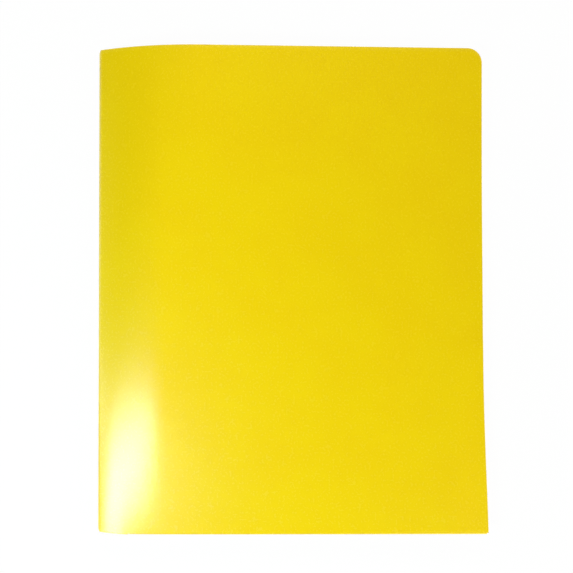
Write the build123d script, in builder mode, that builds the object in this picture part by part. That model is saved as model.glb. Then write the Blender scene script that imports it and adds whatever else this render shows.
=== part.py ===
from build123d import *

import os
from math import cos, radians, sin, tan

# A closed two pocket folder lying on its back cover, in millimetres.
# X runs from the spine to the free edge, Y from the pocket folds to the top edge, Z up from the table.

# The sheet and its two covers, measured along the sheet
sheet_thickness = 0.5
cover_width = 237.0
folder_height = 298.0
corner_radius = 9.0

# The spine between its two scored creases, and its lean in degrees above the back cover when closed
spine_width = 6.35
spine_lean = 66.0
crease_clearance = 0.05

# The bow of the front cover at its bottom edge, level with the pocket's mouth and at its top edge:
# its angle of rise in degrees where it leaves the crease, that beyond the bow, and the length that bends
bottom_bow_angle = 21.0
bottom_bow_length = 16.0
mouth_bow_angle = 24.0
mouth_far_angle = -2.2
mouth_bow_length = 42.0
top_bow_angle = 18.0
top_far_angle = -2.5
top_bow_length = 64.0

# The pockets, each held off its cover by some slack and springing further off at its mouth's inner corner
pocket_height = 120.0
pocket_slack = 1.0
pocket_gape = 2.8
pocket_edge_inset = 0.6
pocket_mouth_margin = 32.0
pocket_corner_radius = 12.0
fold_start_margin = 2.0
weld_width = 3.0
weld_edge_margin = 2.0
weld_end_margin = 4.0

# How far a cutting shape stands past what it cuts
overrun = 20.0

# Sizes worked out from those above
half_sheet = sheet_thickness / 2
fold_radius = pocket_slack / 2 + sheet_thickness
top_y = folder_height / 2
fold_y = fold_radius - top_y
mouth_y = fold_y + pocket_height
panel_height = top_y - fold_y
crease_setback = half_sheet / tan(radians(spine_lean / 2)) + crease_clearance
pocket_far = cover_width - pocket_edge_inset
pocket_fold_start = bottom_bow_length + fold_start_margin
fold_length = pocket_far - pocket_fold_start
weld_far = cover_width - weld_edge_margin
weld_near = weld_far - weld_width
weld_bottom_y = fold_y + weld_end_margin
weld_top_y = mouth_y - weld_end_margin

# The front cover's section at three stations up the folder, from the fold to the top edge.
# At the fold it runs level beyond the bow, so that the pocket folds along a straight line.
bottom_bow = (bottom_bow_angle, 0, bottom_bow_length)
mouth_bow = (mouth_bow_angle, mouth_far_angle, mouth_bow_length)
top_bow = (top_bow_angle, top_far_angle, top_bow_length)
stations = ((fold_y, bottom_bow), (mouth_y, mouth_bow), (top_y, top_bow))


def bow_reach(bow, distance, offset):
    """How far a place on the front sheet lies from the front crease, along X and up Z.

    The sheet leaves the crease at the bow's first angle, bends at one radius until it heads along the far
    angle, and runs on straight. The offset is measured outwards from the middle of the sheet.
    """
    first_angle, far_angle, length = bow
    radius = length / radians(first_angle - far_angle)
    bent = min(distance, length)
    heading = radians(first_angle) - bent / radius
    straight = distance - bent
    across = radius * sin(radians(first_angle)) - (radius + offset) * sin(heading) + straight * cos(heading)
    up = (radius + offset) * cos(heading) - radius * cos(radians(first_angle)) + straight * sin(heading)
    return across, up


# The creases, placed so that the closed folder is centred on the origin
spine_across = spine_width * cos(radians(spine_lean))
spine_up = spine_width * sin(radians(spine_lean))
widest_reach = spine_across + bow_reach(bottom_bow, cover_width, 0)[0]
back_crease_x = (half_sheet - widest_reach) / 2
back_crease_z = half_sheet
front_crease_x = back_crease_x + spine_across
front_crease_z = back_crease_z + spine_up


def across_plane(y):
    """The upright plane across the folder at a height up its covers, facing the folds."""
    return Plane(origin=(0, y, 0), x_dir=(1, 0, 0), z_dir=(0, -1, 0))


def front_place(bow, distance, offset):
    """A place on the front sheet, in the across plane of its station."""
    across, up = bow_reach(bow, distance, offset)
    return front_crease_x + across, front_crease_z + up


def bowed_sections(low, high):
    """A bowed layer of the front cover in section at each station, between two offsets."""
    sections = []
    near = crease_setback
    far = cover_width
    for y, bow in stations:
        bend_end = bow[2]
        bend_middle = (near + bend_end) / 2
        with BuildSketch(across_plane(y)) as section:
            with BuildLine():
                ThreePointArc(*[front_place(bow, d, high) for d in (near, bend_middle, bend_end)])
                Line(front_place(bow, bend_end, high), front_place(bow, far, high))
                Line(front_place(bow, far, high), front_place(bow, far, low))
                Line(front_place(bow, far, low), front_place(bow, bend_end, low))
                ThreePointArc(*[front_place(bow, d, low) for d in (bend_end, bend_middle, near)])
                Line(front_place(bow, near, low), front_place(bow, near, high))
            make_face()
        sections.append(section.sketch)
    return sections


def stand_off(y, distance):
    """How far a pocket stands off its cover, at a height up the folder and a distance from the crease.

    It is the slack along the fold and the outer edge, and grows with the distance from each of them.
    """
    up_share = (y - fold_y) / pocket_height
    in_share = (pocket_far - distance) / (pocket_far - pocket_mouth_margin)
    return pocket_slack + pocket_gape * up_share * in_share


def back_pocket_section(y):
    """The back pocket's sheet in section, above the flat back cover."""
    low = []
    for distance in (crease_setback, pocket_far):
        low.append((back_crease_x + distance, sheet_thickness + stand_off(y, distance)))
    high = [(x, z + sheet_thickness) for x, z in reversed(low)]
    with BuildSketch(across_plane(y)) as section:
        with BuildLine():
            Polyline(*low, *high, close=True)
        make_face()
    return section.sketch


def front_pocket_section(y, bow):
    """The front pocket's sheet in section, below the bowed front cover."""
    bend_end = bow[2]
    distances = (crease_setback, (crease_setback + bend_end) / 2, bend_end, pocket_far)
    high = [front_place(bow, d, -half_sheet - stand_off(y, d)) for d in distances]
    low = [front_place(bow, d, -half_sheet - stand_off(y, d) - sheet_thickness) for d in distances]
    with BuildSketch(across_plane(y)) as section:
        with BuildLine():
            ThreePointArc(high[0], high[1], high[2])
            Line(high[2], high[3])
            Line(high[3], low[3])
            Line(low[3], low[2])
            ThreePointArc(low[2], low[1], low[0])
            Line(low[0], high[0])
        make_face()
    return section.sketch


def slanted_outline(low_y, low_start_x, low_end_x, high_y, high_start_x, high_end_x):
    """A four sided outline on the table plane, with level ends and slanted sides."""
    corners = ((low_start_x, low_y), (low_end_x, low_y), (high_end_x, high_y), (high_start_x, high_y))
    with BuildSketch(Plane.XY) as outline:
        with BuildLine():
            Polyline(*corners, close=True)
        make_face()
    return outline.sketch


def pocket_outline(fold_start_x, mouth_start_x):
    """A pocket seen from above: its spine side slants away from the crease and rounds into the mouth."""
    past_x = cover_width + overrun
    with BuildSketch(Plane.XY) as outline:
        add(slanted_outline(fold_y, fold_start_x, past_x, mouth_y, mouth_start_x, past_x))
        fillet(vertices().group_by(Axis.Y)[-1].sort_by(Axis.X)[0], radius=pocket_corner_radius)
    return outline.sketch


def fold_section(x, z):
    """A pocket fold in section: half a ring of sheet round the slack between cover and pocket."""
    with BuildSketch(Plane.YZ.offset(x)) as section:
        with BuildLine():
            outer = CenterArc((fold_y, z), fold_radius, start_angle=90, arc_size=180)
            inner = CenterArc((fold_y, z), pocket_slack / 2, start_angle=90, arc_size=180)
            Line(outer @ 0, inner @ 0)
            Line(outer @ 1, inner @ 1)
        make_face()
    return section.sketch


def web_section(x, z):
    """The round web that a crease turns on, in section at the top edge."""
    with BuildSketch(across_plane(top_y)) as section:
        with Locations((x, z)):
            Circle(half_sheet)
    return section.sketch


# Back cover: a flat panel with its outer top corner rounded
with BuildPart() as back_cover:
    with BuildSketch(Plane.XY):
        with Locations((back_crease_x + crease_setback, fold_y)):
            Rectangle(cover_width - crease_setback, panel_height, align=(Align.MIN, Align.MIN))
        fillet(vertices().group_by(Axis.Y)[-1].sort_by(Axis.X)[-1], radius=corner_radius)
    extrude(amount=sheet_thickness)
back_cover.part.label = "back_cover"

# Spine strip: a narrow panel leaning from the back crease up to the front crease
lean_plane = Plane(
    origin=(back_crease_x, top_y, back_crease_z),
    x_dir=(cos(radians(spine_lean)), 0, sin(radians(spine_lean))),
    z_dir=(0, -1, 0),
)
with BuildPart() as spine_strip:
    with BuildSketch(lean_plane):
        with Locations((spine_width / 2, 0)):
            Rectangle(spine_width - crease_setback * 2, sheet_thickness)
    extrude(amount=panel_height)
spine_strip.part.label = "spine_strip"

# Crease webs: the thin round webs that the panels turn on
with BuildPart() as back_crease:
    extrude(web_section(back_crease_x, back_crease_z), amount=panel_height)
back_crease.part.label = "back_crease"

with BuildPart() as front_crease:
    extrude(web_section(front_crease_x, front_crease_z), amount=panel_height)
front_crease.part.label = "front_crease"

# Front cover: the bowed panel with its outer top corner rounded
corner_x = front_place(top_bow, cover_width, 0)[0]
past_bow_z = front_crease_z + max(mouth_bow_length, top_bow_length) + overrun
with BuildPart() as front_cover:
    loft(bowed_sections(-half_sheet, half_sheet))
    with BuildSketch(Plane.XY):
        with Locations((corner_x - corner_radius, top_y - corner_radius)):
            Rectangle(corner_radius + overrun, corner_radius + overrun, align=(Align.MIN, Align.MIN))
            Circle(corner_radius, mode=Mode.SUBTRACT)
    extrude(amount=past_bow_z, mode=Mode.SUBTRACT)
front_cover.part.label = "front_cover"

# Back pocket, its fold and its weld, stacked on the back cover
back_fold_x = back_crease_x + pocket_fold_start
back_fold_z = sheet_thickness + pocket_slack / 2
back_mouth_x = back_crease_x + pocket_mouth_margin
with BuildPart() as back_pocket:
    loft([back_pocket_section(fold_y), back_pocket_section(mouth_y)], ruled=True)
    extrude(pocket_outline(back_fold_x, back_mouth_x), amount=past_bow_z, mode=Mode.INTERSECT)
back_pocket.part.label = "back_pocket"

with BuildPart() as back_pocket_fold:
    extrude(fold_section(back_fold_x, back_fold_z), amount=fold_length)
back_pocket_fold.part.label = "back_pocket_fold"

with BuildPart() as back_pocket_weld:
    with BuildSketch(Plane.XY.offset(sheet_thickness)):
        with Locations((back_crease_x + weld_near, weld_bottom_y)):
            Rectangle(weld_width, weld_top_y - weld_bottom_y, align=(Align.MIN, Align.MIN))
    extrude(amount=pocket_slack + half_sheet)
    add(back_pocket.part, mode=Mode.SUBTRACT)
back_pocket_weld.part.label = "back_pocket_weld"

# Front pocket, its fold and its weld, hung under the front cover and bowed with it
front_fold_x, front_cover_z = front_place(bottom_bow, pocket_fold_start, 0)
front_fold_z = front_cover_z - half_sheet - pocket_slack / 2
front_mouth_x = front_place(mouth_bow, pocket_mouth_margin, 0)[0]
with BuildPart() as front_pocket:
    loft([front_pocket_section(y, bow) for y, bow in stations])
    extrude(pocket_outline(front_fold_x, front_mouth_x), amount=past_bow_z, mode=Mode.INTERSECT)
front_pocket.part.label = "front_pocket"

with BuildPart() as front_pocket_fold:
    extrude(fold_section(front_fold_x, front_fold_z), amount=fold_length)
front_pocket_fold.part.label = "front_pocket_fold"

weld_low_x, weld_low_end_x = [front_place(bottom_bow, d, 0)[0] for d in (weld_near, weld_far)]
weld_high_x, weld_high_end_x = [front_place(mouth_bow, d, 0)[0] for d in (weld_near, weld_far)]
with BuildPart() as front_pocket_weld:
    loft(bowed_sections(-sheet_thickness - pocket_slack, 0))
    extrude(
        slanted_outline(weld_bottom_y, weld_low_x, weld_low_end_x, weld_top_y, weld_high_x, weld_high_end_x),
        amount=past_bow_z,
        mode=Mode.INTERSECT,
    )
    add(front_cover.part, mode=Mode.SUBTRACT)
    add(front_pocket.part, mode=Mode.SUBTRACT)
front_pocket_weld.part.label = "front_pocket_weld"

print(f"back crease x {back_crease_x:.4f} z {back_crease_z:.4f}")
print(f"front crease x {front_crease_x:.4f} z {front_crease_z:.4f}")

pieces = (
    back_cover,
    back_crease,
    spine_strip,
    front_crease,
    front_cover,
    back_pocket,
    back_pocket_fold,
    back_pocket_weld,
    front_pocket,
    front_pocket_fold,
    front_pocket_weld,
)
os.makedirs("parts", exist_ok=True)
for piece in pieces:
    export_step(piece.part, f"parts/{piece.part.label}.step")
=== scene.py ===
from math import cos, pi, radians, sin, tan

import bpy
import numpy as np
from mathutils import Matrix, Vector


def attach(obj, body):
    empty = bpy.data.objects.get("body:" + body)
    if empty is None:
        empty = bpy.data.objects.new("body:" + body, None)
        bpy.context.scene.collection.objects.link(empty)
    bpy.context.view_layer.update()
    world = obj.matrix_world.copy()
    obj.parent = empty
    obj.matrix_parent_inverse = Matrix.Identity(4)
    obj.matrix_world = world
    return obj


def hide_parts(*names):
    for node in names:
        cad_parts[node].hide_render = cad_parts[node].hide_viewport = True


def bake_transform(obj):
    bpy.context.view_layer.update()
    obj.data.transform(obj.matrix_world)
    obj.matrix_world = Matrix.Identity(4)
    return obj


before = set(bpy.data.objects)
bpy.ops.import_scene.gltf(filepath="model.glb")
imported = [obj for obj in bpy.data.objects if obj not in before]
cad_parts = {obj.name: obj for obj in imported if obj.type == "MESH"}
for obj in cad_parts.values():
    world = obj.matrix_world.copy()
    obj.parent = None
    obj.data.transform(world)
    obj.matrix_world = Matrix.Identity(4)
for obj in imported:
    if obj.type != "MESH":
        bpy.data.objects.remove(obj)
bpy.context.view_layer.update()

# A closed two pocket folder on its back cover, in metres: X from spine to free edge, Y from folds to top, Z up

# The sheet and its two covers, measured along the sheet
SHEET = 0.0005
HALF = SHEET / 2
COVER_WIDTH = 0.237
FOLDER_HEIGHT = 0.298
CORNER_RADIUS = 0.009
CUT_ROUND = 0.00012

# The spine between its two creases, and its lean above the back cover when closed
SPINE_WIDTH = 0.00635
SPINE_LEAN = radians(66)
SPINE_BULGE = 0.00012
CREASE_RADIUS = 0.00027
CREASE_LEAST_HALF = 0.1 * HALF

# The pockets
POCKET_HEIGHT = 0.120
POCKET_SLACK = 0.001
POCKET_GAPE = 0.0028
POCKET_FAR = COVER_WIDTH - 0.0006
POCKET_MOUTH_MARGIN = 0.032
POCKET_CORNER_RADIUS = 0.012
POCKET_FOLD_START = 0.018
LIP_DEPTH = 0.0006
LIP_RUN = POCKET_FOLD_START + 0.006
WELD_FAR = COVER_WIDTH - 0.002
WELD_NEAR = WELD_FAR - 0.003
WELD_END_MARGIN = 0.004
WELD_PRESS = 0.00008
WELD_SOFTNESS = 0.00025

# Heights up the folder
FOLD_RADIUS = POCKET_SLACK / 2 + HALF
TOP_Y = FOLDER_HEIGHT / 2
FOLD_Y = FOLD_RADIUS + HALF - TOP_Y
MOUTH_Y = FOLD_Y + POCKET_HEIGHT
WELD_BOTTOM_Y = FOLD_Y + WELD_END_MARGIN
WELD_TOP_Y = MOUTH_Y - WELD_END_MARGIN

# The front cover's bow at three heights: angle at the crease, angle beyond the bow, length that bends
STATIONS = (
    (FOLD_Y, radians(21), 0.0, 0.016),
    (MOUTH_Y, radians(24), radians(-2.2), 0.042),
    (TOP_Y, radians(18), radians(-2.5), 0.064),
)

# The free edge is let out or drawn in: everywhere, most at a waist below the pocket's mouth, and at the fold
EDGE_SHIFT = -0.00022
WAIST_SHIFT, WAIST_Y, WAIST_SPREAD = -0.00036, -0.052, 0.033
FLARE_SHIFT, FLARE_SPREAD = 0.00068, 0.030

# The pocket's mouth shows as a step: where it rises and falls below the mouth, and comes in near the free edge
STEP_HEIGHT = 0.00028
STEP_RISE = (0.0, 0.006)
STEP_FALL = (0.038, 0.007)
STEP_FADE = (0.050, 0.010)

# The weld shows as a band: its centre and spread in from the free edge, and where it comes in below the mouth
BAND_HEIGHT = 0.00014
BAND_CENTRE, BAND_SPREAD = 0.019, 0.006
BAND_FADE = (0.002, 0.030)

# The fold's score shows as a line: its height above the fold, and where it comes in away from the crease
SCORE_HEIGHT = 0.00005
SCORE_RISE, SCORE_SPREAD = 0.0018, 0.0008
SCORE_FADE = (0.05, 0.10)

# Slow waves cross the front cover: their lengths, and where they come in away from the crease
WAVE_HEIGHT = 0.00006
WAVE_ACROSS, WAVE_ALONG = 0.093, 0.31
CROSS_WAVE, CROSS_START = 0.127, 0.2
WAVE_FADE = (0.0, 0.03)

# A pocket fold's ring is flattened near its start: share and length of each exponential
RING_FLATTENING = ((0.28, 0.010), (0.20, 0.060))

# A crease's web swells and thins: share, and the lengths of two waves
WEB_SWELL = 0.02
WEB_WAVES = (0.0071, 0.043)

# Whitening: how far it reaches from a cut edge and from a crease, and its share in a pocket fold
WEAR_REACH = 0.0005
CREASE_REACH = 0.00045
FOLD_WHITENING = 0.35

# How finely the surfaces are divided
RIM_STEPS = 4
CORNER_STEPS = 14
CORNER_SWEEP = radians(80)
SHARP_TURN = radians(50)
COLUMNS = 96
ROWS = 110
LIP_COLUMNS = 16
LIP_END = 0.00001
SPINE_COLUMNS = 14
MOUTH_ROWS, MOUTH_BAND, MOUTH_CLEAR = 41, 0.010, 0.0105
FOLD_ROWS, FOLD_BAND, FOLD_CLEAR = 20, (0.0003, 0.006), 0.0065
POCKET_ROWS = 60
SEAM_COLUMNS, SEAM_MARGIN = 24, 0.001
WELD_COLUMNS, WELD_ROWS = 6, 150
FOLD_STEPS = 20
BEAD_SIDES = 20
BEAD_STEPS = 2 * ROWS


def bow_reach(first, far, length, distance, offset):
    """Reach from the front crease along X and up Z.

    The sheet leaves the crease at the first angle and bends at one radius, the bent length over the change of
    angle, until it heads along the far angle and runs on straight. The offset is square to the sheet.
    """
    radius = length / (first - far)
    bent = np.minimum(distance, length)
    heading = first - bent / radius
    straight = distance - bent
    across = radius * sin(first) - (radius + offset) * np.sin(heading) + straight * np.cos(heading)
    up = (radius + offset) * np.cos(heading) - radius * cos(first) + straight * np.sin(heading)
    return across, up


# The creases
widest_reach = SPINE_WIDTH * cos(SPINE_LEAN) + float(bow_reach(*STATIONS[0][1:], COVER_WIDTH, 0)[0])
BACK_X = (HALF - widest_reach) / 2
BACK_Z = HALF
FRONT_X = BACK_X + SPINE_WIDTH * cos(SPINE_LEAN)
FRONT_Z = BACK_Z + SPINE_WIDTH * sin(SPINE_LEAN)


def smooth(low, high, value):
    """Smoothstep: 3t^2 - 2t^3 of the share t of the way from low to high, held to 0 and 1."""
    share = np.clip((value - low) / (high - low), 0, 1)
    return share * share * (3 - 2 * share)


def hump(centre, spread, value):
    """Bell curve: e to minus half the square of the distance from the centre in spreads."""
    return np.exp(-0.5 * ((value - centre) / spread) ** 2)


def stand_off(distance, y):
    """Room between a pocket and its cover.

    The slack, and the gape times the shares of the way up from the fold and in from the outer edge.
    """
    up_share = (y - FOLD_Y) / POCKET_HEIGHT
    in_share = (POCKET_FAR - distance) / (POCKET_FAR - POCKET_MOUTH_MARGIN)
    return POCKET_SLACK + POCKET_GAPE * up_share * in_share


def edge_draw(y):
    """How far the free edge is let out: a constant and two bell curves, one at the waist and one at the fold."""
    return EDGE_SHIFT + WAIST_SHIFT * hump(WAIST_Y, WAIST_SPREAD, y) + FLARE_SHIFT * hump(FOLD_Y, FLARE_SPREAD, y)


def front_place(distance, y, offset):
    """Places on the front sheet.

    The bow's section at each station is carried between them by a parabola in Y, and the sheet is drawn in or let
    out by a fraction of a millimetre, growing with the square of the distance from the crease.
    """
    across, up = 0, 0
    for station in STATIONS:
        share = 1
        for other in STATIONS:
            if other is not station:
                share = share * (y - other[0]) / (station[0] - other[0])
        reach_across, reach_up = bow_reach(*station[1:], distance, offset)
        across = across + share * reach_across
        up = up + share * reach_up
    across = across + edge_draw(y) * (distance / COVER_WIDTH) ** 2
    return np.stack([FRONT_X + across, y, FRONT_Z + up], axis=-1)


def cover_relief(distance, y):
    """Gentle unevenness of the front cover, square to the sheet.

    The pocket's mouth shows as a step, steep above and gentle below, the product of three smoothsteps. The weld
    and the fold's score show as bell curves, each faded by a smoothstep. The waves are the product of two sines.
    """
    from_edge = COVER_WIDTH - distance
    below_mouth = MOUTH_Y - y
    step = STEP_HEIGHT * smooth(*STEP_RISE, below_mouth) * smooth(*STEP_FALL, below_mouth)
    step = step * smooth(*STEP_FADE, from_edge)
    band = BAND_HEIGHT * hump(BAND_CENTRE, BAND_SPREAD, from_edge) * smooth(*BAND_FADE, below_mouth)
    score = SCORE_HEIGHT * hump(FOLD_Y + SCORE_RISE, SCORE_SPREAD, y) * smooth(*SCORE_FADE, distance)
    slanted = np.sin(2 * pi * (distance / WAVE_ACROSS + y / WAVE_ALONG))
    waves = WAVE_HEIGHT * slanted * np.sin(2 * pi * (y / CROSS_WAVE - CROSS_START))
    return step + band + score + waves * smooth(*WAVE_FADE, distance)


def front_cover_place(distance, y, offset):
    """The front sheet with its unevenness added to the offset."""
    return front_place(distance, y, offset + cover_relief(distance, y))


def front_pocket_place(distance, y, offset):
    """The front pocket: the front sheet moved inwards by a sheet and the room between."""
    return front_place(distance, y, offset - SHEET - stand_off(distance, y))


def front_weld_place(distance, y, offset):
    """The front weld: half way across the room between cover and pocket."""
    return front_place(distance, y, offset - HALF - stand_off(distance, y) / 2)


def back_place(distance, y, offset):
    """The back sheet: flat, half a sheet above the table."""
    return np.stack([BACK_X + distance, y, BACK_Z + offset], axis=-1)


def back_pocket_place(distance, y, offset):
    """The back pocket: the back sheet moved up by a sheet and the room between."""
    return back_place(distance, y, offset + SHEET + stand_off(distance, y))


def back_weld_place(distance, y, offset):
    """The back weld: half way across the room between cover and pocket."""
    return back_place(distance, y, offset + HALF + stand_off(distance, y) / 2)


def spine_place(distance, y, offset):
    """The spine strip: straight up its lean from the back crease, with a faint bulge outwards like half a sine."""
    out = offset + SPINE_BULGE * np.sin(pi * distance / SPINE_WIDTH)
    x = BACK_X + distance * cos(SPINE_LEAN) - out * sin(SPINE_LEAN)
    z = BACK_Z + distance * sin(SPINE_LEAN) + out * cos(SPINE_LEAN)
    return np.stack([x, y, z], axis=-1)


def ring_place(start_x, centre_z):
    """A place function for a pocket fold: half a ring round the room between cover and pocket.

    It runs from below to above, and is flattened towards its start by two exponentials of the distance from there.
    """

    def place(distance, arc, offset):
        turn = 1.5 * pi - arc / FOLD_RADIUS
        out = FOLD_RADIUS + offset
        along = distance - POCKET_FOLD_START
        depth = 1 - sum(share * np.exp(-along / length) for share, length in RING_FLATTENING)
        y = FOLD_Y + depth * out * np.cos(turn)
        z = centre_z + out * np.sin(turn)
        return np.stack([start_x + along, y, z], axis=-1)

    return place


def rim_rise(width):
    """Steps from 0 to a rim's width, placed as the rise of a quarter circle, so that its round is even."""
    return width * (1 - np.cos(np.linspace(0, pi / 2, RIM_STEPS + 1)))


def between(low, high, count):
    """Even steps strictly between two values."""
    return np.linspace(low, high, count + 1)[1:-1]


def cut_half(inset):
    """Half the sheet's thickness at a distance inside a cut edge: full, less the fall of a quarter circle."""
    share = 1 - np.clip(inset / CUT_ROUND, 0, 1)
    return HALF - CUT_ROUND * (1 - np.sqrt(1 - share**2))


def crease_half(distance):
    """Half the sheet's thickness at a crease: a half circle beyond the crease's line."""
    return np.sqrt(np.clip(HALF**2 - np.minimum(distance, 0) ** 2, CREASE_LEAST_HALF**2, None))


def closed_mesh(name, points, faces):
    """A mesh of points and faces, shaded smooth except over edges that turn sharply."""
    mesh = bpy.data.meshes.new(name)
    mesh.from_pydata(points.tolist(), [], faces)
    mesh.polygons.foreach_set("use_smooth", np.ones(len(mesh.polygons), bool))
    mesh.set_sharp_from_angle(angle=SHARP_TURN)
    mesh.update()
    mesh.validate()
    return mesh


def paint(mesh, name, values):
    """One number for each point of a mesh, under a name that its material reads."""
    layer = mesh.attributes.new(name, "FLOAT", "POINT")
    layer.data.foreach_set("value", np.asarray(values, np.float32).ravel())


def lay_out(mesh, flat):
    """The mesh's UV map: each corner takes its point's place on the flat sheet, in metres."""
    corners = np.empty(len(mesh.loops), np.int32)
    mesh.loops.foreach_get("vertex_index", corners)
    layer = mesh.uv_layers.new(name="sheet")
    layer.data.foreach_set("uv", flat[corners].astype(np.float32).ravel())


def sheet_mesh(name, across, along, half, place, flat_along, outer_up, marks):
    """A closed sheet over a grid.

    Its upper points are placed at plus half the thickness and its lower points at minus half, each face of the
    grid appears on both, and a strip of faces round the border joins them.
    """
    columns, rows = across.shape
    count = columns * rows
    points = np.concatenate([place(across, along, side * half).reshape(-1, 3) for side in (1, -1)])
    index = np.arange(count).reshape(columns, rows)
    a, b, c, d = index[:-1, :-1], index[1:, :-1], index[1:, 1:], index[:-1, 1:]
    upper = np.stack([a, b, c, d], axis=-1).reshape(-1, 4)
    lower = np.stack([a, d, c, b], axis=-1).reshape(-1, 4) + count
    ring = np.concatenate([index[:-1, 0], index[-1, :-1], index[:0:-1, -1], index[0, :0:-1]])
    after = np.roll(ring, -1)
    side = np.stack([ring + count, after + count, after, ring], axis=-1)
    mesh = closed_mesh(name, points, np.concatenate([upper, lower, side]).tolist())
    flat = np.stack([across, flat_along], axis=-1).reshape(-1, 2)
    lay_out(mesh, np.concatenate([flat, flat]))
    for mark, values in marks.items():
        paint(mesh, mark, np.concatenate([values.ravel(), values.ravel()]))
    inside = np.concatenate([np.full(count, 0.0 if outer_up else 1.0), np.full(count, 1.0 if outer_up else 0.0)])
    paint(mesh, "inside", inside)
    return mesh


def wear(inset):
    """Share of edge wear: e to minus the distance inside a cut edge, in reaches."""
    return np.exp(-np.clip(inset, 0, None) / WEAR_REACH)


def crease_mark(*distances):
    """Share of crease whitening: the sum, over the creases, of e to minus the distance in reaches."""
    return sum(np.exp(-np.abs(distance) / CREASE_REACH) for distance in distances)


def lip_edge(distance):
    """Height of a cover's bottom edge from its crease to its pocket fold: a smoothstep down by the lip's depth."""
    return FOLD_Y - LIP_DEPTH * smooth(0.0, LIP_RUN, distance)


def cover_mesh(name, place, outer_up):
    """A cover: columns from the crease's half circle to the free edge, rows from the fold to the top edge.

    Columns in the corner follow the sine of an even angle, and the top of each lies on its quarter circle. Rows
    are even, and closer together at the pocket's fold and mouth.
    """
    corner_start = COVER_WIDTH - CORNER_RADIUS
    corner = corner_start + CORNER_RADIUS * np.sin(np.linspace(0, CORNER_SWEEP, CORNER_STEPS))
    columns = np.concatenate([
        -HALF + rim_rise(HALF),
        between(0, POCKET_FOLD_START, LIP_COLUMNS),
        [POCKET_FOLD_START - LIP_END, POCKET_FOLD_START],
        between(POCKET_FOLD_START, corner_start, COLUMNS),
        corner,
        COVER_WIDTH - rim_rise(CUT_ROUND)[::-1],
    ])
    past_corner = np.clip(columns - corner_start, 0, CORNER_RADIUS)
    top = TOP_Y - CORNER_RADIUS + np.sqrt(CORNER_RADIUS**2 - past_corner**2)
    bottom = np.where(columns < POCKET_FOLD_START, lip_edge(columns), FOLD_Y)
    low = bottom[:, None] + rim_rise(CUT_ROUND)
    even = FOLD_Y + (TOP_Y - FOLD_Y) * between(0, 1, ROWS)
    even = even[(np.abs(even - MOUTH_Y) > MOUTH_CLEAR) & (even > FOLD_Y + FOLD_CLEAR)]
    mouth = MOUTH_Y + np.linspace(-MOUTH_BAND, MOUTH_BAND, MOUTH_ROWS)
    fold = FOLD_Y + np.linspace(*FOLD_BAND, FOLD_ROWS)
    share = (np.sort(np.concatenate([even, mouth, fold])) - FOLD_Y) / (TOP_Y - FOLD_Y)
    middle = low[:, -1:] + (top - CUT_ROUND - low[:, -1])[:, None] * share
    high = top[:, None] - rim_rise(CUT_ROUND)[::-1]
    along = np.concatenate([low, middle, high], axis=1)
    across = np.broadcast_to(columns[:, None], along.shape).copy()

    in_corner = (across > corner_start) & (along > TOP_Y - CORNER_RADIUS)
    reach = np.hypot(across - corner_start, along - TOP_Y + CORNER_RADIUS)
    inset = np.minimum(COVER_WIDTH - across, TOP_Y - along)
    inset = np.where(in_corner, CORNER_RADIUS - reach, inset)
    inset = np.where(across < POCKET_FOLD_START, np.minimum(inset, along - lip_edge(across)), inset)
    half = np.minimum(cut_half(inset), crease_half(across))
    marks = {"worn": wear(inset), "creased": crease_mark(across), "pressed": np.zeros_like(across)}
    return sheet_mesh(name, across, along, half, place, along, outer_up, marks)


def spine_mesh(name):
    """The spine strip: a plain grid between the half circles of the two creases."""
    columns = np.concatenate([
        -HALF + rim_rise(HALF),
        between(0, SPINE_WIDTH, SPINE_COLUMNS),
        SPINE_WIDTH + HALF - rim_rise(HALF)[::-1],
    ])
    rows = np.concatenate([
        FOLD_Y + rim_rise(CUT_ROUND),
        between(FOLD_Y + CUT_ROUND, TOP_Y - CUT_ROUND, ROWS),
        TOP_Y - rim_rise(CUT_ROUND)[::-1],
    ])
    across, along = np.meshgrid(columns, rows, indexing="ij")
    inset = np.minimum(along - FOLD_Y, TOP_Y - along)
    half = np.minimum(cut_half(inset), crease_half(across))
    half = np.minimum(half, crease_half(SPINE_WIDTH - across))
    marks = {
        "worn": wear(inset),
        "creased": crease_mark(across, SPINE_WIDTH - across),
        "pressed": np.zeros_like(across),
    }
    return sheet_mesh(name, across, along, half, spine_place, along, True, marks)


def weld_mark(distance, y):
    """1 inside a weld's rectangle and 0 outside: the product of a smoothstep over each of its four sides."""
    soft = WELD_SOFTNESS
    mark = smooth(WELD_NEAR - soft, WELD_NEAR + soft, distance)
    mark = mark * smooth(WELD_FAR + soft, WELD_FAR - soft, distance)
    mark = mark * smooth(WELD_BOTTOM_Y - soft, WELD_BOTTOM_Y + soft, y)
    return mark * smooth(WELD_TOP_Y + soft, WELD_TOP_Y - soft, y)


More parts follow.
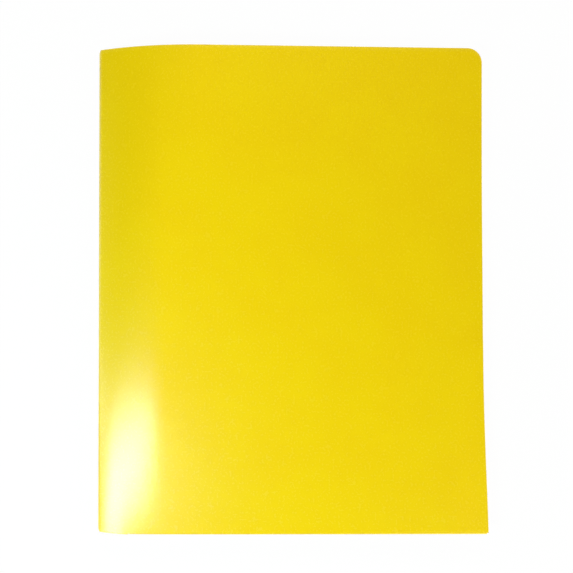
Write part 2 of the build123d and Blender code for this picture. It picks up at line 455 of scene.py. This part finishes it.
def pocket_mesh(name, place, outer_up):
    """A pocket: rows from the fold up to the mouth, each from the slanted or rounded spine side to the outer edge.

    The spine side leans away from the crease. Its corner is a circle that touches the slant and the mouth, so in
    the corner a row starts at the circle's centre less the root of the radius squared minus the height squared.
    """
    slant = np.arctan2(POCKET_MOUTH_MARGIN - POCKET_FOLD_START, POCKET_HEIGHT)
    centre_y = MOUTH_Y - POCKET_CORNER_RADIUS
    centre_line = POCKET_FOLD_START + (centre_y - FOLD_Y) * tan(slant)
    centre = centre_line + POCKET_CORNER_RADIUS / cos(slant)
    touch_y = centre_y + POCKET_CORNER_RADIUS * sin(slant)
    corner = centre_y + POCKET_CORNER_RADIUS * np.sin(np.linspace(slant, CORNER_SWEEP, CORNER_STEPS))
    rows = np.concatenate([
        [FOLD_Y],
        between(FOLD_Y, touch_y, POCKET_ROWS),
        corner,
        MOUTH_Y - rim_rise(CUT_ROUND)[::-1],
    ])
    line = POCKET_FOLD_START + (rows - FOLD_Y) * tan(slant)
    rise = np.clip(rows - centre_y, 0, POCKET_CORNER_RADIUS)
    start = np.where(rows < touch_y, line, centre - np.sqrt(POCKET_CORNER_RADIUS**2 - rise**2))
    low = start[None, :] + rim_rise(CUT_ROUND)[:, None]
    weld_edge = WELD_NEAR - SEAM_MARGIN
    share = between(0, 1, COLUMNS)[:, None]
    middle = low[-1] + (weld_edge - low[-1]) * share
    welded = np.linspace(weld_edge, POCKET_FAR - CUT_ROUND, SEAM_COLUMNS)[:-1]
    high = np.concatenate([welded, POCKET_FAR - rim_rise(CUT_ROUND)[::-1]])
    across = np.concatenate([low, middle, np.broadcast_to(high[:, None], (len(high), len(rows)))], axis=0)
    along = np.broadcast_to(rows[None, :], across.shape).copy()

    from_line = (across - POCKET_FOLD_START - (along - FOLD_Y) * tan(slant)) * cos(slant)
    in_corner = (across < centre) & (along - centre_y > (centre - across) * tan(slant))
    reach = np.hypot(across - centre, along - centre_y)
    inset = np.minimum(np.minimum(POCKET_FAR - across, MOUTH_Y - along), from_line)
    inset = np.where(in_corner, POCKET_CORNER_RADIUS - reach, inset)
    pressed = weld_mark(across, along)
    marks = {"worn": wear(inset), "creased": np.zeros_like(across), "pressed": pressed}
    fold_length = pi * FOLD_RADIUS
    flat_along = 2 * FOLD_Y - fold_length - along
    towards_cover = 1 if outer_up else -1

    def pressed_place(distance, y, offset):
        return place(distance, y, offset + towards_cover * WELD_PRESS * weld_mark(distance, y))

    return sheet_mesh(name, across, along, cut_half(inset), pressed_place, flat_along, not outer_up, marks)


def fold_mesh(name, place, cover_above):
    """A pocket fold: columns along its length, rows by arc length round the half ring, its two ends cut square."""
    columns = np.concatenate([
        POCKET_FOLD_START + rim_rise(CUT_ROUND),
        between(POCKET_FOLD_START + CUT_ROUND, POCKET_FAR - CUT_ROUND, COLUMNS),
        POCKET_FAR - rim_rise(CUT_ROUND)[::-1],
    ])
    fold_length = pi * FOLD_RADIUS
    across, arc = np.meshgrid(columns, np.linspace(0, fold_length, FOLD_STEPS), indexing="ij")
    inset = np.minimum(across - POCKET_FOLD_START, POCKET_FAR - across)
    past_cover = fold_length - arc if cover_above else arc
    from_middle = np.abs(arc / fold_length - 0.5)
    marks = {
        "worn": wear(inset),
        "creased": FOLD_WHITENING * smooth(0.5, 0.1, from_middle),
        "pressed": np.zeros_like(across),
    }
    return sheet_mesh(name, across, arc, cut_half(inset), place, FOLD_Y - past_cover, True, marks)


def weld_mesh(name, place):
    """A weld: a flat bar between cover and pocket, as thick as the room there, its ends and sides rounded."""
    columns = np.concatenate([
        WELD_NEAR + rim_rise(CUT_ROUND),
        between(WELD_NEAR + CUT_ROUND, WELD_FAR - CUT_ROUND, WELD_COLUMNS),
        WELD_FAR - rim_rise(CUT_ROUND)[::-1],
    ])
    rows = np.concatenate([
        WELD_BOTTOM_Y + rim_rise(CUT_ROUND),
        between(WELD_BOTTOM_Y + CUT_ROUND, WELD_TOP_Y - CUT_ROUND, WELD_ROWS),
        WELD_TOP_Y - rim_rise(CUT_ROUND)[::-1],
    ])
    across, along = np.meshgrid(columns, rows, indexing="ij")
    inset = np.minimum(np.minimum(across - WELD_NEAR, WELD_FAR - across), along - WELD_BOTTOM_Y)
    inset = np.minimum(inset, WELD_TOP_Y - along)
    half = stand_off(across, along) / 2 + cut_half(inset) - HALF
    marks = {"worn": wear(inset), "creased": np.zeros_like(across), "pressed": np.ones_like(across)}
    return sheet_mesh(name, across, along, half, place, along, True, marks)


def bead_mesh(name, x, z):
    """A crease's web: a circle carried along Y, rounded at its ends.

    Its radius is thicker and thinner by a share times the product of two sines of the length along it.
    """
    length = TOP_Y - FOLD_Y
    steps = np.concatenate([
        rim_rise(CUT_ROUND),
        between(CUT_ROUND, length - CUT_ROUND, BEAD_STEPS),
        length - rim_rise(CUT_ROUND)[::-1],
    ])
    inset = np.minimum(steps, length - steps)
    radius = CREASE_RADIUS + cut_half(inset) - HALF
    short_wave, long_wave = (np.sin(2 * pi * steps / wave) for wave in WEB_WAVES)
    radius = radius * (1 + WEB_SWELL * short_wave * long_wave)
    turn = np.linspace(0, 2 * pi, BEAD_SIDES, endpoint=False)
    ring_x = x + np.outer(np.cos(turn), radius)
    ring_z = z + np.outer(np.sin(turn), radius)
    ring_y = np.broadcast_to(FOLD_Y + steps, ring_x.shape)
    points = np.stack([ring_x, ring_y, ring_z], axis=-1).reshape(-1, 3)
    index = np.arange(BEAD_SIDES * len(steps)).reshape(BEAD_SIDES, len(steps))
    beside = np.roll(index, -1, axis=0)
    side = np.stack([index[:, :-1], index[:, 1:], beside[:, 1:], beside[:, :-1]], axis=-1).reshape(-1, 4)
    ends = [index[:, 0].tolist(), index[::-1, -1].tolist()]
    mesh = closed_mesh(name, points, side.tolist() + ends)
    flat = np.stack(np.broadcast_arrays(CREASE_RADIUS * turn[:, None], FOLD_Y + steps), axis=-1)
    lay_out(mesh, flat.reshape(-1, 2))
    for mark, value in (("worn", 0.0), ("creased", 1.0), ("pressed", 0.0), ("inside", 0.0)):
        paint(mesh, mark, np.full(index.size, value))
    return mesh


class Wire:
    """A socket of a node tree. Sums and products of wires and numbers add Math nodes."""

    def __init__(self, tree, socket=None):
        self.tree = tree
        self.socket = socket

    def node(self, kind, settings=None, sockets=None, output=0):
        """Any node: its settings first, then a value or a wire for each socket."""
        made = self.tree.nodes.new(kind)
        for name, value in (settings or {}).items():
            setattr(made, name, value)
        for name, value in (sockets or {}).items():
            if isinstance(value, Wire):
                self.tree.links.new(value.socket, made.inputs[name])
            else:
                made.inputs[name].default_value = value
        return Wire(self.tree, made.outputs[output] if len(made.outputs) else None)

    def math(self, operation, first, second):
        """A Math node of two wires or numbers."""
        return self.node("ShaderNodeMath", {"operation": operation}, {0: first, 1: second})

    def __add__(self, other):
        return self.math("ADD", self, other)

    def __radd__(self, other):
        return self.math("ADD", other, self)

    def __sub__(self, other):
        return self.math("SUBTRACT", self, other)

    def __rsub__(self, other):
        return self.math("SUBTRACT", other, self)

    def __mul__(self, other):
        return self.math("MULTIPLY", self, other)

    def __rmul__(self, other):
        return self.math("MULTIPLY", other, self)

    def noise(self, scale, detail=2.0, roughness=0.5):
        """Noise in the plane of the flat sheet, scale bumps to the metre."""
        settings = {"noise_dimensions": "2D"}
        sockets = {"Vector": self, "Scale": scale, "Detail": detail, "Roughness": roughness}
        return self.node("ShaderNodeTexNoise", settings, sockets)

    def span(self, low, high, to_low=0.0, to_high=1.0):
        """The share of the way from low to high, held to 0 and 1 and spread over another range."""
        sockets = {"Value": self, "From Min": low, "From Max": high, "To Min": to_low, "To Max": to_high}
        return self.node("ShaderNodeMapRange", {"interpolation_type": "SMOOTHSTEP"}, sockets)

    def mix(self, first, second):
        """A colour between two, by this share."""
        settings = {"data_type": "RGBA"}
        return self.node("ShaderNodeMix", settings, {0: self, 6: first, 7: second}, output=2)


def begin(name):
    """A new material with an empty tree, and a wire into it."""
    material = bpy.data.materials.new(name)
    material.use_nodes = True
    material.node_tree.nodes.clear()
    return material, Wire(material.node_tree)


def rgb(red, green, blue):
    """A colour with full alpha, from linear shares of light."""
    return (red, green, blue, 1.0)


WHITE = rgb(1, 1, 1)
BLACK = rgb(0, 0, 0)

# The sheet's two shades, the shade of its cuts and creases, and how much of that a cut has
LEMON = rgb(0.885, 0.616, 0.001)
AMBER = rgb(0.880, 0.598, 0.001)
PALE = rgb(0.86, 0.66, 0.07)
WORN_SHARE = 0.2

# Grains to the metre
SAND_GRAINS = 720
FINE_GRAINS = 2300
CLOUDS = 26
RUBS = 140

# What each adds to the roughness, and what the sand and the rubs add on the whole
SAND_DULLS = 0.12
RUBS_DULL = 0.04
INSIDE_DULLS = 0.04
PRESSING_DULLS = -0.06
MEAN_DULLING = 0.07

# Shares of the relief, its height, and the sheen's index of refraction
SAND_RELIEF = 0.75
FINE_RELIEF = 0.25
STAMP_RELIEF = 1.5
RELIEF_HEIGHT = 0.00006
SHEEN_IOR = 1.615


def sheet_finish(name, creased_share, pressed_share, roughness):
    """Embossed plastic sheet: a sand grain of two sizes, cloudy colour, paler cuts and creases, stamped welds."""
    material, tree = begin(name)
    flat = tree.node("ShaderNodeUVMap", {"uv_map": "sheet"})
    worn, creased, pressed, inside = (
        tree.node("ShaderNodeAttribute", {"attribute_name": mark}, output=2)
        for mark in ("worn", "creased", "pressed", "inside")
    )

    sand = flat.noise(SAND_GRAINS, detail=1.0)
    fine = flat.noise(FINE_GRAINS, detail=0.0)
    clouds = flat.noise(CLOUDS, detail=3.0, roughness=0.6)
    rubs = flat.noise(RUBS, detail=4.0, roughness=0.7)

    cloudy = clouds.span(0.3, 0.7)
    body = cloudy.mix(AMBER, LEMON)
    whitened = creased * creased_share + worn * WORN_SHARE
    colour = whitened.mix(body, PALE)

    rubbed = rubs.span(0.58, 0.76)
    dull = sand * SAND_DULLS + rubbed * RUBS_DULL + inside * INSIDE_DULLS + pressed * PRESSING_DULLS
    dull = dull + (roughness - MEAN_DULLING)

    checks = tree.node(
        "ShaderNodeTexBrick",
        {"offset": 0.5},
        {
            "Vector": flat,
            "Color1": WHITE,
            "Color2": WHITE,
            "Mortar": BLACK,
            "Scale": 1000.0,
            "Mortar Size": 0.18,
            "Mortar Smooth": 0.6,
            "Brick Width": 1.0,
            "Row Height": 0.75,
        },
    )
    stamp = checks * pressed * pressed_share
    relief = sand * SAND_RELIEF + fine * FINE_RELIEF + stamp * STAMP_RELIEF
    bump = tree.node("ShaderNodeBump", None, {"Strength": 1.0, "Distance": RELIEF_HEIGHT, "Height": relief})

    shader = tree.node(
        "ShaderNodeBsdfPrincipled",
        None,
        {
            "Base Color": colour,
            "Roughness": dull,
            "IOR": SHEEN_IOR,
            "Normal": bump,
        },
    )
    tree.node("ShaderNodeOutputMaterial", None, {"Surface": shader})
    return material


# Each finish with its shares of crease whitening and weld stamping, and its roughness
sheet_plastic = sheet_finish("yellow_sheet", 0.15, 1.0, 0.265)
spine_plastic = sheet_finish("scored_spine", 0.10, 0.0, 0.60)
crease_plastic = sheet_finish("scored_crease", 0.20, 0.0, 0.60)
weld_plastic = sheet_finish("pressed_weld", 0.0, 1.0, 0.24)


def put(mesh, material, slot, node):
    """A piece made of a mesh, with its material, standing for one node of the frame."""
    mesh.materials.append(material)
    piece = bpy.data.objects.new(mesh.name, mesh)
    bpy.context.scene.collection.objects.link(piece)
    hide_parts(node)
    return piece


front_fold_x, _, front_level_z = front_place(np.array(POCKET_FOLD_START), np.array(FOLD_Y), 0.0)
front_ring = ring_place(float(front_fold_x), float(front_level_z) - FOLD_RADIUS)
back_ring = ring_place(BACK_X + POCKET_FOLD_START, BACK_Z + FOLD_RADIUS)

# The back cover, with its pocket
back_meshes = (
    (cover_mesh("back_cover_sheet", back_place, False), sheet_plastic, "sheet", "back_cover"),
    (bead_mesh("back_crease_web", BACK_X, BACK_Z), crease_plastic, "crease", "back_crease"),
    (pocket_mesh("back_pocket_sheet", back_pocket_place, False), sheet_plastic, "sheet", "back_pocket"),
    (fold_mesh("back_pocket_turn", back_ring, False), sheet_plastic, "sheet", "back_pocket_fold"),
    (weld_mesh("back_pocket_seam", back_weld_place), weld_plastic, "weld", "back_pocket_weld"),
)
for parts in back_meshes:
    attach(put(*parts), "back")

# The spine strip, with the front crease
spine_meshes = (
    (spine_mesh("spine_sheet"), spine_plastic, "sheet", "spine_strip"),
    (bead_mesh("front_crease_web", FRONT_X, FRONT_Z), crease_plastic, "crease", "front_crease"),
)
for parts in spine_meshes:
    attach(put(*parts), "spine")

# The front cover, with its pocket
front_meshes = (
    (cover_mesh("front_cover_sheet", front_cover_place, True), sheet_plastic, "sheet", "front_cover"),
    (pocket_mesh("front_pocket_sheet", front_pocket_place, True), sheet_plastic, "sheet", "front_pocket"),
    (fold_mesh("front_pocket_turn", front_ring, True), sheet_plastic, "sheet", "front_pocket_fold"),
    (weld_mesh("front_pocket_seam", front_weld_place), weld_plastic, "weld", "front_pocket_weld"),
)
for parts in front_meshes:
    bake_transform(put(*parts))


def straight_rays(tree):
    """1 for camera, glossy and transmission rays, which show the white studio, and 0 for the rest."""
    kinds = ("Is Camera Ray", "Is Glossy Ray", "Is Transmission Ray")
    seen, glossy, through = [tree.node("ShaderNodeLightPath", output=kind) for kind in kinds]
    return tree.math("MAXIMUM", tree.math("MAXIMUM", seen, glossy), through)


# A plain pale floor, which the camera sees near white with a soft shadow
FLOOR_REACH = 4.0
FLOOR_WHITENESS = 0.97
FLOOR_COLOUR = rgb(0.86, 0.86, 0.86)
FLOOR_Z = -0.0001
floor_mesh = bpy.data.meshes.new("floor")
floor_corners = [(x * FLOOR_REACH, y * FLOOR_REACH, FLOOR_Z) for x, y in ((-1, -1), (1, -1), (1, 1), (-1, 1))]
floor_mesh.from_pydata(floor_corners, [], [(0, 1, 2, 3)])
floor_material, floor_tree = begin("pale_floor")
floor_diffuse = floor_tree.node("ShaderNodeBsdfDiffuse", None, {"Color": FLOOR_COLOUR})
floor_white = floor_tree.node("ShaderNodeEmission", None, {"Color": WHITE, "Strength": 1.0})
whiter = straight_rays(floor_tree) * FLOOR_WHITENESS
floor_mix = floor_tree.node("ShaderNodeMixShader", None, {0: whiter, 1: floor_diffuse, 2: floor_white})
floor_tree.node("ShaderNodeOutputMaterial", None, {"Surface": floor_mix})
floor_mesh.materials.append(floor_material)
floor = bpy.data.objects.new("floor", floor_mesh)
bpy.context.scene.collection.objects.link(floor)

# Soft studio light: a world that is white round the horizon, brighter to the right and dim overhead, and soft boxes
HORIZON_LEVEL = 0.95
HORIZON_LIGHT = 0.92
HORIZON_TOP = (0.25, 0.60)
OVERHEAD_LEVEL = 0.01
world = bpy.data.worlds.new("studio")
world.use_nodes = True
world.node_tree.nodes.clear()
sky = Wire(world.node_tree)
heading = sky.node("ShaderNodeTexCoord")
towards_right = sky.node("ShaderNodeSeparateXYZ", None, {0: heading}, output=0)
height = sky.node("ShaderNodeSeparateXYZ", None, {0: heading}, output=2)
low = height.span(*HORIZON_TOP, 1.0, 0.0)
rightward = towards_right + 1
seen = straight_rays(sky)
thrown = (1 - seen) * rightward * rightward * HORIZON_LIGHT
level = low * (seen * HORIZON_LEVEL + thrown) + OVERHEAD_LEVEL
sky_light = sky.node("ShaderNodeBackground", None, {"Color": WHITE, "Strength": level})
sky.node("ShaderNodeOutputWorld", None, {"Surface": sky_light})
bpy.context.scene.world = world


def soft_box(name, place, width, height, brightness, tint, roll=0.0):
    """A flat lamp at a place, facing the middle of the folder.

    Its width lies along X as near as that allows, and is then rolled about the line to the middle.
    """
    lamp = bpy.data.lights.new(name, "AREA")
    lamp.shape = "RECTANGLE"
    lamp.size, lamp.size_y = width, height
    lamp.energy = brightness * pi * width * height
    lamp.color = tint
    back = Vector(place).normalized()
    side = Vector((1, 0, 0))
    side = (side - back * side.dot(back)).normalized()
    box = bpy.data.objects.new(name, lamp)
    facing = Matrix((side, back.cross(side), back)).transposed().to_4x4()
    box.matrix_world = Matrix.Translation(place) @ facing @ Matrix.Rotation(roll, 4, "Z")
    bpy.context.scene.collection.objects.link(box)


# Cool light from the lower left and warm from elsewhere, as the sheet's shift from lemon to amber shows
COOL = (0.78, 1.0, 1.0)
WARM = (1.0, 0.95, 0.82)
soft_box("key_box", (-0.379, -0.292, 0.480), 0.342, 0.160, 19.6, COOL, radians(13))
soft_box("left_box", (-0.821, -0.280, 0.414), 0.40, 0.20, 4.3, COOL)
soft_box("low_box", (0.299, -0.372, 0.24), 0.40, 0.20, 3.2, WARM)
soft_box("top_box", (0.0, 0.76, 0.44), 0.50, 0.20, 11.0, WARM)

# The camera, straight above the folder with a slight turn, its lens as a share of the picture's width
CAMERA_PLACE = (-0.0015189, -0.0047465, 0.401737)
CAMERA_TURN = (-0.0171, -0.00201, 0.00225)
LENS_SHARE = 641.871 / 573
SENSOR = 36.0
camera_data = bpy.data.cameras.new("camera")
camera_data.sensor_width = SENSOR
camera_data.lens = SENSOR * LENS_SHARE
camera_data.clip_start = 0.01
camera_data.clip_end = 20.0
camera = bpy.data.objects.new("camera", camera_data)
turn_x = Matrix.Rotation(CAMERA_TURN[0], 3, "X")
turn_y = Matrix.Rotation(CAMERA_TURN[1], 3, "Y")
turn_z = Matrix.Rotation(CAMERA_TURN[2], 3, "Z")
camera_turn = (turn_z @ turn_y @ turn_x).transposed()
camera.matrix_world = Matrix.Translation(CAMERA_PLACE) @ camera_turn.to_4x4()
bpy.context.scene.collection.objects.link(camera)
bpy.context.scene.camera = camera
bpy.context.scene.view_settings.view_transform = "Standard"
